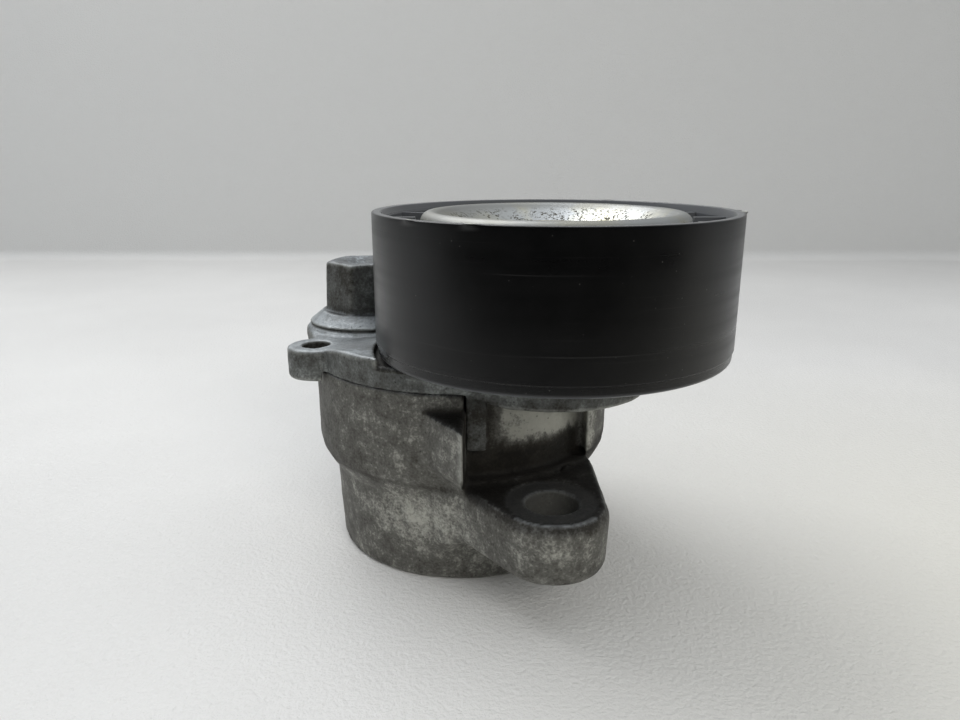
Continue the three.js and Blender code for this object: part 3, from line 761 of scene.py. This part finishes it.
def bolt_field(x, y, z):
    """Flanged hexagon bolt with a dished head and a cut thread."""
    u, v = x - PULLEY_X, y - PULLEY_Y
    across = np.hypot(u, v)
    head = slab(six_flats(u, v, BOLT_ACROSS / 2, 0, 0.3), z, BOLT_FLANGE_TOP - 1, BOLT_TOP, 0.2, 0.3)
    head = soft_max(head, (across - BOLT_CROWN + 1.6 * (z - BOLT_TOP)) / 1.9, 0.3)
    head = cut(head, slab(across - BOLT_DISH, z, BOLT_TOP - 0.5, ABOVE, 0.5, 0.2), 0.5)
    flange = (across - BOLT_FLANGE + 1.4 * np.clip(z - 71.0, 0, 9)) / 1.3
    flange = slab(flange, z, BOLT_FLANGE_BOTTOM, BOLT_FLANGE_TOP, 0.2, 0.3)
    tooth = np.abs((z / THREAD_PITCH - np.arctan2(v, u) / (2 * pi)) % 1 - 0.5)
    depth = np.where(z < THREAD_TOP, 1.1 * tooth, 0)
    shank = slab(across - BOLT_SHANK + depth, z, BOLT_TIP, 71, 0.8, 0.2) * 0.8
    return soft_min(soft_min(head, flange, 0.7), shank, 0.3)


def cage_field(x, y, z):
    """A moulded ring with a round pocket for each ball."""
    u, v, up = x - PULLEY_X, y - PULLEY_Y, z - BALL_HEIGHT
    ring = slab(np.abs(np.hypot(u, v) - PITCH) - 0.93, up, -4.6, 1.4, 0.3, 0.3)
    for angle in turns(BALLS):
        gone = np.sqrt((u - PITCH * cos(angle)) ** 2 + (v - PITCH * sin(angle)) ** 2 + up ** 2)
        ring = soft_max(ring, BALL_ROOM - gone, 0.2)
    return ring


def race_corners(bore, shoulder, inner):
    """Cross section of a bearing ring with its groove."""
    half = acos(abs(shoulder - PITCH) / GROOVE_RADIUS)
    middle = pi if inner else 0
    groove = arc(PITCH, BALL_HEIGHT, GROOVE_RADIUS, middle + half, middle - half, 10)
    groove = [(*p, 0) for p in (groove[::-1] if inner else groove)]
    bottom, top = BEARING_BOTTOM + 0.1, BEARING_TOP - 0.1
    return [(shoulder, bottom, 0.2), (bore, bottom, 0.5), (bore, top, 0.5), (shoulder, top, 0.2), *groove]


def make_balls():
    """Bearing balls, each a fine turned half circle."""
    half = [(max(r, 0), h, 0) for r, h in arc(0, BALL_HEIGHT, BALL_RADIUS, -pi / 2, pi / 2, 24)]
    made = []
    for k, angle in enumerate(turns(BALLS), 1):
        at = (PULLEY_X + PITCH * cos(angle), PULLEY_Y + PITCH * sin(angle))
        made.append(lathe(f"ball_{k}", half, at, 48))
    return made


def make_spring():
    """Round wire wound at a constant pitch round the pivot."""
    radius, wire, coils, bottom, top = 20.0, 2.3, 4.25, 8.6, 40.6
    steps, around = 340, 20
    points, faces = [], []
    for k in range(steps + 1):
        angle = 2 * pi * coils * k / steps
        height = bottom + (top - bottom) * k / steps
        middle = Vector((radius * cos(angle), radius * sin(angle), height))
        out = Vector((cos(angle), sin(angle), 0))
        along = Vector((-sin(angle), cos(angle), (top - bottom) / (2 * pi * coils * radius)))
        up = out.cross(along.normalized())
        points += [tuple(middle + wire * (cos(a) * out + sin(a) * up)) for a in turns(around)]
    for k in range(steps):
        for j in range(around):
            i, n = k * around, (j + 1) % around
            faces.append([i + j, i + n, i + around + n, i + around + j])
    faces += [list(range(around)), list(range(steps * around, (steps + 1) * around))]
    return new_object("wound_spring", points, faces, radians(50))


LOWER_SHIELD_CORNERS = [
    (5.3, 56.55, 0.1), (12.7, 56.55, 0.3), (13.3, 55.9, 0.3), (19.2, 55.9, 0.3), (19.2, 56.6, 0.3),
    (13.6, 56.6, 0.3), (13, 57.35, 0.3), (5.3, 57.35, 0.1),
]
SHAFT_CORNERS = [
    (0, 2.1, 0), (6, 2.1, 0.5), (6, 49.1, 0), (8, 49.1, 0.2), (8, 49.9, 0.3), (7.2, 50.4, 0.3), (0, 50.2, 0),
]
SPLIT = (radians(20), radians(340))



def box_round_pulley(reach, bottom, top):
    """Lowest and highest corner of a box round the pulley's axis."""
    return (PULLEY_X - reach, PULLEY_Y - reach, bottom), (PULLEY_X + reach, PULLEY_Y + reach, top)


bolt = sculpt("flange_bolt", bolt_field, *box_round_pulley(9.5, BOLT_TIP, BOLT_TOP), 0.3)
cage = sculpt("ball_cage", cage_field, *box_round_pulley(15.4, 58.6, 65), 0.34)


# ---- Materials ----

class Nodes:
    """Adds nodes to a tree, each with its inputs set or linked."""

    def __init__(self, tree):
        self.nodes, self.links = tree.nodes, tree.links

    def add(self, kind, inputs, output=0, **settings):
        """Adds a node, feeds its inputs, and returns one output."""
        node = self.nodes.new(kind)
        for key, value in settings.items():
            setattr(node, key, value)
        for key, value in inputs.items():
            self.feed(node.inputs[key], value)
        return node.outputs[output]

    def feed(self, socket, value):
        """Links an input to another node's output, or sets its value."""
        if isinstance(value, bpy.types.NodeSocket):
            self.links.new(value, socket)
        elif isinstance(value, tuple) and socket.type == "RGBA":
            socket.default_value = (*value, 1)
        else:
            socket.default_value = value

    def math(self, operation, a, b=0.0):
        return self.add("ShaderNodeMath", {0: a, 1: b}, operation=operation)

    def times(self, a, b):
        return self.math("MULTIPLY", a, b)

    def ramp(self, value, start, end, low=0.0, high=1.0):
        """A value's way from start to end, as low to high."""
        return self.add("ShaderNodeMapRange", {"Value": value, "From Min": start, "From Max": end,
                                               "To Min": low, "To Max": high}, clamp=True)

    def split(self, vector):
        """The three parts of a vector."""
        return self.add("ShaderNodeSeparateXYZ", {0: vector}).node.outputs


class Finish(Nodes):
    """Builds one procedural material. Lengths are millimetres in the object's own frame."""

    def __init__(self, name):
        self.material = bpy.data.materials.new(name)
        self.material.use_nodes = True
        super().__init__(self.material.node_tree)
        self.shader = self.nodes["Principled BSDF"]
        self.place = self.vector("SCALE", self.add("ShaderNodeTexCoord", {}, "Object"), scale=1 / MM)

    def vector(self, operation, a, b=(0, 0, 0), scale=1.0):
        return self.add("ShaderNodeVectorMath", {0: a, 1: b, 3: scale}, operation=operation)

    def total(self, *terms):
        """Sum of value * weight pairs."""
        result = 0.0
        for value, weight in terms:
            result = self.math("ADD", self.times(value, weight), result)
        return result

    def noise(self, lump, detail=3.0, stretch=(1, 1, 1), shift=0.0, at=None):
        """Cloudy noise around 0.5, with lumps of the given size."""
        moved = self.vector("ADD", self.vector("MULTIPLY", at or self.place, stretch), (shift,) * 3)
        return self.add("ShaderNodeTexNoise", {"Vector": moved, "Scale": 1 / lump, "Detail": detail,
                                               "Roughness": 0.6}, "Fac")

    def cells(self, size, shift=0.0):
        """Distance to the nearest of scattered points, in cell sizes."""
        moved = self.vector("ADD", self.place, (shift,) * 3)
        return self.add("ShaderNodeTexVoronoi", {"Vector": moved, "Scale": 1 / size}, "Distance")

    def mix(self, share, a, b, kind="MIX"):
        return self.add("ShaderNodeMix", {0: share, 6: a, 7: b}, 2, data_type="RGBA", blend_type=kind)

    def note(self, key):
        """A value that the mesh stores at each point."""
        return self.add("ShaderNodeAttribute", {}, "Fac", attribute_name=key)

    def round_axis(self):
        """Coordinates round the pulley's axis: turn, distance from the axis, height."""
        local = self.vector("SUBTRACT", self.place, (*PULLEY_AXIS, 0))
        parts = self.split(local)
        turn = self.math("ARCTAN2", parts[1], parts[0])
        across = self.add("ShaderNodeVectorMath", {0: self.vector("MULTIPLY", local, (1, 1, 0))}, 1,
                          operation="LENGTH")
        return self.add("ShaderNodeCombineXYZ", {0: turn, 1: across, 2: parts[2]})

    def done(self, color, roughness, metallic, bump, depth, gloss=0.5):
        """Feeds the shader. depth is the height of the bump, in millimetres."""
        normal = self.add("ShaderNodeBump", {"Strength": 1.0, "Distance": depth * MM, "Height": bump})
        for key, value in (("Base Color", color), ("Roughness", roughness), ("Metallic", metallic),
                           ("Normal", normal), ("Specular IOR Level", gloss)):
            self.feed(self.shader.inputs[key], value)
        return self.material


def cast_aluminium(name, dark, middle, light, shine):
    """Oily, stained cast aluminium: edges lightened by wear and a painted highlight, black dirt and painted
    shade in corners.
    """
    f = Finish(name)
    clouds, blotches, mottle = f.noise(11, 4), f.noise(3.2, 5, shift=40), f.noise(1.0, 3, shift=80)
    streaks = f.noise(1.4, 4, stretch=(1, 1, 0.22), shift=20)
    speckle = f.noise(0.5, 3, shift=55)
    # The tone note brings in painted light and shade; the noises are the casting's own blotchy colour.
    level = f.total((clouds, 0.95), (blotches, 1.0), (mottle, 0.85), (streaks, 0.25), (speckle, 0.8),
                    (f.note("tone"), 0.42))
    tone = f.math("SUBTRACT", level, 1.37)
    color = f.mix(f.ramp(tone, 0.12, 0.62), dark, middle)
    color = f.mix(f.ramp(tone, 0.62, 1.05), color, light)
    # Bright edges: partly wear, partly a painted highlight.
    painted_light = f.ramp(f.total((f.note("edge"), 1.0), (blotches, 1.6), (mottle, 1.2)), 1.7, 3.0, 0, 0.42)
    color = f.mix(painted_light, color, (0.55, 0.55, 0.53))
    # Near black where the surface is closed in: dirt with painted shade, and painted shade where the tone
    # note is darkest.
    closed = f.total((f.note("open"), -1.0), (blotches, 0.5), (mottle, 0.2))
    grime_and_shade = f.math("MAXIMUM", f.ramp(closed, -0.42, 0.25), f.ramp(tone, 0.1, -0.35))
    color = f.mix(f.times(grime_and_shade, 0.88), color, (0.014, 0.0125, 0.011))
    pits = f.ramp(f.cells(1.7, 9), 0.16, 0.05)
    color = f.mix(f.times(pits, 0.6), color, (0.02, 0.02, 0.02))
    # Machined colour; on the ears' front top edges it is a painted highlight.
    bare = f.note("bare")
    color = f.mix(bare, color, (0.3, 0.305, 0.305))
    # Painted light: faces turned up take a cool tint and faces turned sideways a warm one.
    facing = f.split(f.add("ShaderNodeNewGeometry", {}, "Normal"))
    upward = f.ramp(facing[2], 0.2, 0.8)
    color = f.mix(1.0, color, f.mix(upward, (0.975, 0.985, 0.93), (0.96, 1.0, 1.03)), "MULTIPLY")
    rough = f.ramp(mottle, 0.3, 0.7, 0.5, 0.78)
    roughness = f.total((rough, 1.0), (grime_and_shade, 0.1), (painted_light, -0.2), (bare, -0.25))
    bump = f.total((f.noise(0.45, 3), 0.5), (mottle, 0.7), (blotches, 0.5), (pits, -0.5))
    return f.done(color, roughness, f.total((grime_and_shade, -0.5 * shine), (1.0, shine)), bump, 0.13)


def black_plastic():
    """Moulded black nylon with turned marks and dust."""
    f = Finish("black_plastic")
    ring = f.round_axis()
    marks = f.noise(0.35, 2, stretch=(1.2, 1, 1), at=ring)
    bands = f.noise(2.6, 2, stretch=(0.6, 0.2, 1), at=ring, shift=5)
    haze = f.noise(9, 4)
    dust = f.times(f.ramp(f.cells(1.6), 0.09, 0.03), f.ramp(f.noise(7, 2, shift=12), 0.5, 0.62))
    color = f.mix(f.ramp(haze, 0.35, 0.7), (0.0012, 0.0012, 0.0013), (0.003, 0.003, 0.0031))
    color = f.mix(f.times(dust, 0.25), color, (0.3, 0.3, 0.28))
    scuffs = f.ramp(f.noise(0.9, 4, stretch=(0.5, 1, 1.6), at=ring, shift=31), 0.66, 0.74)
    color = f.mix(f.times(scuffs, 0.06), color, (0.2, 0.2, 0.2))
    around = f.split(ring)
    dusty = f.ramp(around[1], PULLEY_RADIUS - 0.3, PULLEY_RADIUS - 0.6)
    color = f.mix(dusty, color, (0.1, 0.105, 0.112))
    flake = f.ramp(around[2], PULLEY_TOP + 0.05, PULLEY_TOP + 0.18)
    color = f.mix(flake, color, (0.36, 0.37, 0.33))
    roughness = f.total((f.ramp(bands, 0.3, 0.7, 0.22, 0.32), 1.0), (haze, 0.08), (scuffs, 0.12))
    bump = f.total((marks, 0.5), (haze, 0.6), (dust, 0.6))
    return f.done(color, roughness, 0.0, bump, 0.012, 0.36)


def zinc_plate(name, base_color, tint, pitted):
    """Bright plated steel with a yellow cast in places and dark pits."""
    f = Finish(name)
    ring = f.round_axis()
    clouds = f.noise(13, 4, shift=3)
    grain = f.noise(1.1, 4, stretch=(5, 1, 1), at=ring)
    color = f.mix(f.ramp(clouds, 0.42, 0.62), base_color, tint)
    color = f.mix(f.ramp(grain, 0.5, 0.8, 0, 0.2), color, (0.3, 0.31, 0.32))
    cluster = f.ramp(f.noise(6, 3, shift=60), 0.38, 0.52)
    pits = f.times(f.times(f.ramp(f.noise(0.7, 3, shift=90), 0.52, 0.6), cluster), pitted)
    parts = f.split(f.place)
    crown = f.ramp(parts[2], 78.0, 79.2)
    # Painted shade: the left side is darker.
    left_shade = f.ramp(f.total((parts[0], 1.0), (clouds, 12.0)), PULLEY_X + 8, PULLEY_X - 12, 0, 0.75)
    color = f.mix(left_shade, color, (0.24, 0.24, 0.22))
    pits = f.times(pits, f.math("SUBTRACT", 1.0, crown))
    color = f.mix(pits, color, (0.07, 0.066, 0.05))
    color = f.mix(f.times(crown, 0.75), color, (0.27, 0.272, 0.262))
    rough = f.ramp(clouds, 0.3, 0.7, 0.24, 0.38)
    roughness = f.total((rough, 1.0), (pits, 0.35), (grain, 0.08), (crown, 0.14))
    metallic = f.math("SUBTRACT", 1.0, f.times(pits, 0.6))
    return f.done(color, roughness, metallic, f.total((grain, 0.3), (pits, -0.8)), 0.05)


def ground_steel(name, color, roughness):
    """Machined or ground steel: fine marks round the part and faint stains."""
    f = Finish(name)
    marks = f.noise(0.4, 3, stretch=(0.15, 0.15, 1))
    stains = f.noise(5, 4, shift=7)
    darker = tuple(0.55 * c for c in color)
    tone = f.mix(f.ramp(stains, 0.5, 0.75, 0, 0.7), color, darker)
    return f.done(tone, f.total((marks, 0.2), (stains, 0.15), (1.0, roughness - 0.15)), 1.0, marks, 0.02)


def soft_finish(name, color, roughness, lump, depth):
    """Rubber, nylon or sintered bush: matt, with a fine grain and a little dust."""
    f = Finish(name)
    grain, clouds = f.noise(lump, 3), f.noise(6, 4, shift=15)
    lighter = tuple(min(1.0, 1.7 * c + 0.01) for c in color)
    tone = f.mix(f.ramp(clouds, 0.4, 0.75), color, lighter)
    bump = f.total((grain, 1.0), (clouds, 0.4))
    return f.done(tone, f.total((grain, 0.25), (1.0, roughness - 0.12)), 0.0, bump, depth)


def wear(obj, material):
    """Gives an object one material."""
    obj.data.materials.clear()
    obj.data.materials.append(material)


FINISHES = {
    "cast_base": cast_aluminium(
        "cast_housing", (0.055, 0.05, 0.044), (0.17, 0.166, 0.158), (0.52, 0.512, 0.485), 0.55),
    "cast_arm": cast_aluminium(
        "cast_lever", (0.05, 0.046, 0.041), (0.165, 0.17, 0.172), (0.4, 0.42, 0.43), 0.6),
    "pulley_plastic": black_plastic(),
    "zinc_plate": zinc_plate("zinc_dish", (0.5, 0.52, 0.53), (0.6, 0.57, 0.42), 1.0),
    "bolt_steel": zinc_plate("zinc_bolt", (0.5, 0.5, 0.49), (0.55, 0.5, 0.36), 0.6),
    "steel": ground_steel("turned_steel", (0.5, 0.5, 0.5), 0.35),
    "bearing_steel": ground_steel("bearing_steel", (0.62, 0.62, 0.62), 0.22),
    "spring_steel": ground_steel("spring_steel", (0.1, 0.1, 0.11), 0.45),
    "bronze": ground_steel("bronze", (0.45, 0.3, 0.14), 0.4),
    "polymer": soft_finish("wear_polymer", (0.03, 0.028, 0.025), 0.6, 0.5, 0.04),
    "cage_nylon": soft_finish("cage_nylon", (0.3, 0.27, 0.2), 0.55, 0.6, 0.03),
    "seal_rubber": soft_finish("seal_rubber", (0.012, 0.012, 0.012), 0.75, 0.4, 0.05),
}


# ---- Which piece stands for which node, and what it rides on ----

def turned(name, node, body, slot, section, at=(0, 0), sweep=None):
    """A turned piece in the table's form."""
    return lathe(name, section, at, SIDES, 4, sweep), node, body, slot


def plain_ring(name, node, body, slot, *sizes, at=(0, 0), sweep=None):
    """A plain ring in the table's form."""
    return turned(name, node, body, slot, ring_corners(*sizes), at, sweep)


# Each piece, the CAD node it stands for, the body it rides on, and the slot of its finish.
PIECES = [
    (base, "base_housing", "base", "cast_base"),
    (arm, "tensioner_arm", "arm", "cast_arm"),
    (pulley, "pulley_shell", "pulley", "pulley_plastic"),
    (upper_shield, "dust_shield_upper", "arm", "zinc_plate"),
    (bolt, "pulley_bolt", "arm", "bolt_steel"),
    (cage, "bearing_cage", "bearing_set", "cage_nylon"),
    (make_spring(), "torsion_spring", "base", "spring_steel"),
    turned("turned_shaft", "pivot_shaft", "base", "steel", SHAFT_CORNERS),
    plain_ring("bronze_bush", "pivot_bush", "arm", "bronze", 6.06, 7.55, 21.2, 47.5),
    plain_ring("thrust_disc", "thrust_washer", "base", "polymer", 6.15, 11.5, 20.05, 21),
    plain_ring("flat_washer", "retaining_washer", "base", "steel", 6.15, 9.2, 47.65, 49.05),
    plain_ring("seat_ring", "spring_seat", "base", "polymer", 14.5, 24, 4.05, 6),
    plain_ring("damper_sleeve", "damper_ring", "arm", "polymer", 24.5, 27.2, 30, 44.2, sweep=SPLIT),
    plain_ring("damper_strip", "damper_band", "arm", "spring_steel", 23.6, 24.2, 31, 43.5, 0.1, sweep=SPLIT),
    plain_ring("seal_cord", "dust_seal", "arm", "seal_rubber", 29.1, 30.9, SEAM_LOW + 0.05, 45.7, 0.3),
    turned("outer_race", "bearing_outer_ring", "pulley", "bearing_steel", race_corners(20, 16.9, False),
           PULLEY_AXIS),
    turned("inner_race", "bearing_inner_ring", "arm", "bearing_steel", race_corners(8.5, 11.6, True),
           PULLEY_AXIS),
    plain_ring("seal_low", "bearing_seal_lower", "pulley", "seal_rubber", 11.9, 16.7, 57.6, 58.3,
               at=PULLEY_AXIS),
    plain_ring("seal_high", "bearing_seal_upper", "pulley", "seal_rubber", 11.9, 16.7, 68.5, 69.2,
               at=PULLEY_AXIS),
    plain_ring("spacer_tube", "bearing_spacer", "arm", "steel", 5.2, 8.4, 57.45, 69.35, at=PULLEY_AXIS),
    turned("lower_dish", "dust_shield_lower", "arm", "zinc_plate", LOWER_SHIELD_CORNERS, PULLEY_AXIS),
]
for k, ball in enumerate(make_balls(), 1):
    PIECES.append((ball, f"bearing_ball_{k}", "bearing_set", "bearing_steel"))

for piece, node, body, slot in PIECES:
    wear(piece, FINISHES[slot])
    if node == "torsion_spring":
        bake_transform(piece)
    else:
        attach(piece, body)
    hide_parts(node)


# ---- Stage ----

WALL_Y, COVE = 485.0, 10.0
FLOOR_HALF_WIDTH, FLOOR_FRONT, WALL_TOP = 1800, -1500, 420
CAMERA_PLACE, CAMERA_PITCH, CAMERA_LENS = (4.3, -174.4, 91.05), 15.6, 27.56


def make_floor():
    """A pale sheet with a low backdrop, dark behind the camera in mirrored rays."""
    turn_up = arc(WALL_Y - COVE, COVE, COVE, radians(-80), 0, 8)
    profile = [(FLOOR_FRONT, 0), (WALL_Y - COVE, 0), *turn_up, (WALL_Y, WALL_TOP)]
    points = [(x, y, z) for x in (-FLOOR_HALF_WIDTH, FLOOR_HALF_WIDTH) for y, z in profile]
    count = len(profile)
    faces = [[k, count + k, count + k + 1, k + 1] for k in range(count - 1)]
    floor = new_object("floor", points, faces)
    f = Finish("pale_floor")
    fleck = f.noise(1.1, 3)
    color = f.mix(f.ramp(f.noise(160, 3), 0.35, 0.7), (0.66, 0.657, 0.648), (0.72, 0.717, 0.707))
    parts = f.split(f.place)
    # Painted light: the floor is tinted warmer towards the front right.
    warm = f.times(f.ramp(parts[0], -20, 120), f.ramp(parts[1], 150, -40))
    color = f.mix(f.times(warm, 0.9), color, (0.7, 0.686, 0.63))
    color = f.mix(f.ramp(parts[2], 0.5, 4), color, (0.69, 0.695, 0.69))
    glossy = f.add("ShaderNodeLightPath", {}, "Is Glossy Ray")
    mirrored = f.times(glossy, f.ramp(parts[1], -105, -220))
    color = f.mix(f.times(mirrored, 0.97), color, (0.02, 0.02, 0.02))
    wear(floor, f.done(color, 0.55, 0.0, fleck, 0.4))


def make_camera():
    data = bpy.data.cameras.new("camera")
    data.sensor_width = 36
    data.lens = CAMERA_LENS
    data.clip_start = 0.01
    camera = place("camera", data)
    camera.location = Vector(CAMERA_PLACE) * MM
    camera.rotation_euler = (radians(90 - CAMERA_PITCH), 0, 0)
    bpy.context.scene.camera = camera


def area_light(name, location, target, size, power, color=(1, 1, 1), mirrored=True):
    """A soft light aimed at a target, seen in mirror images or not."""
    data = bpy.data.lights.new(name, "AREA")
    data.shape = "RECTANGLE"
    data.size, data.size_y = size
    data.energy = power
    data.color = color
    light = place(name, data)
    light.location = location
    light.rotation_euler = (Vector(target) - Vector(location)).to_track_quat("-Z", "Y").to_euler()
    light.visible_glossy = mirrored


def make_world():
    """Soft daylight: bright above and behind the object, dimmer behind the camera."""
    world = bpy.data.worlds.new("world")
    world.use_nodes = True
    w = Nodes(world.node_tree)
    parts = w.split(w.add("ShaderNodeTexCoord", {}, "Generated"))
    level = w.ramp(parts[1], -0.6, 0.5, 0.18, 0.62)
    light = w.math("ADD", level, w.ramp(parts[2], 0.45, 0.95, 0, 0.5))
    glossy = w.add("ShaderNodeLightPath", {}, "Is Glossy Ray")
    unlit = w.times(glossy, w.ramp(parts[1], -0.75, -0.1, 0.9, 0))
    light = w.times(light, w.math("SUBTRACT", 1.0, unlit))
    seen = w.times(w.add("ShaderNodeLightPath", {}, "Is Camera Ray"), 0.6)
    background = w.nodes["Background"]
    w.feed(background.inputs["Color"], (0.94, 0.97, 1.0))
    w.feed(background.inputs["Strength"], w.math("MAXIMUM", light, seen))
    bpy.context.scene.world = world


make_floor()
make_camera()
make_world()
area_light("overhead", (-0.35, 0.35, 0.75), (0, 0, 0.02), (0.7, 0.5), 4.0)
area_light("left_window", (-0.9, -0.1, 0.35), (0, 0, 0.05), (0.35, 0.6), 0.45, (0.86, 0.93, 1), False)
area_light("front_fill", (0.35, -0.8, 0.5), (0, 0, 0.03), (0.5, 0.4), 3.6, (1, 0.97, 0.92), False)
bpy.context.scene.view_settings.view_transform = "Standard"
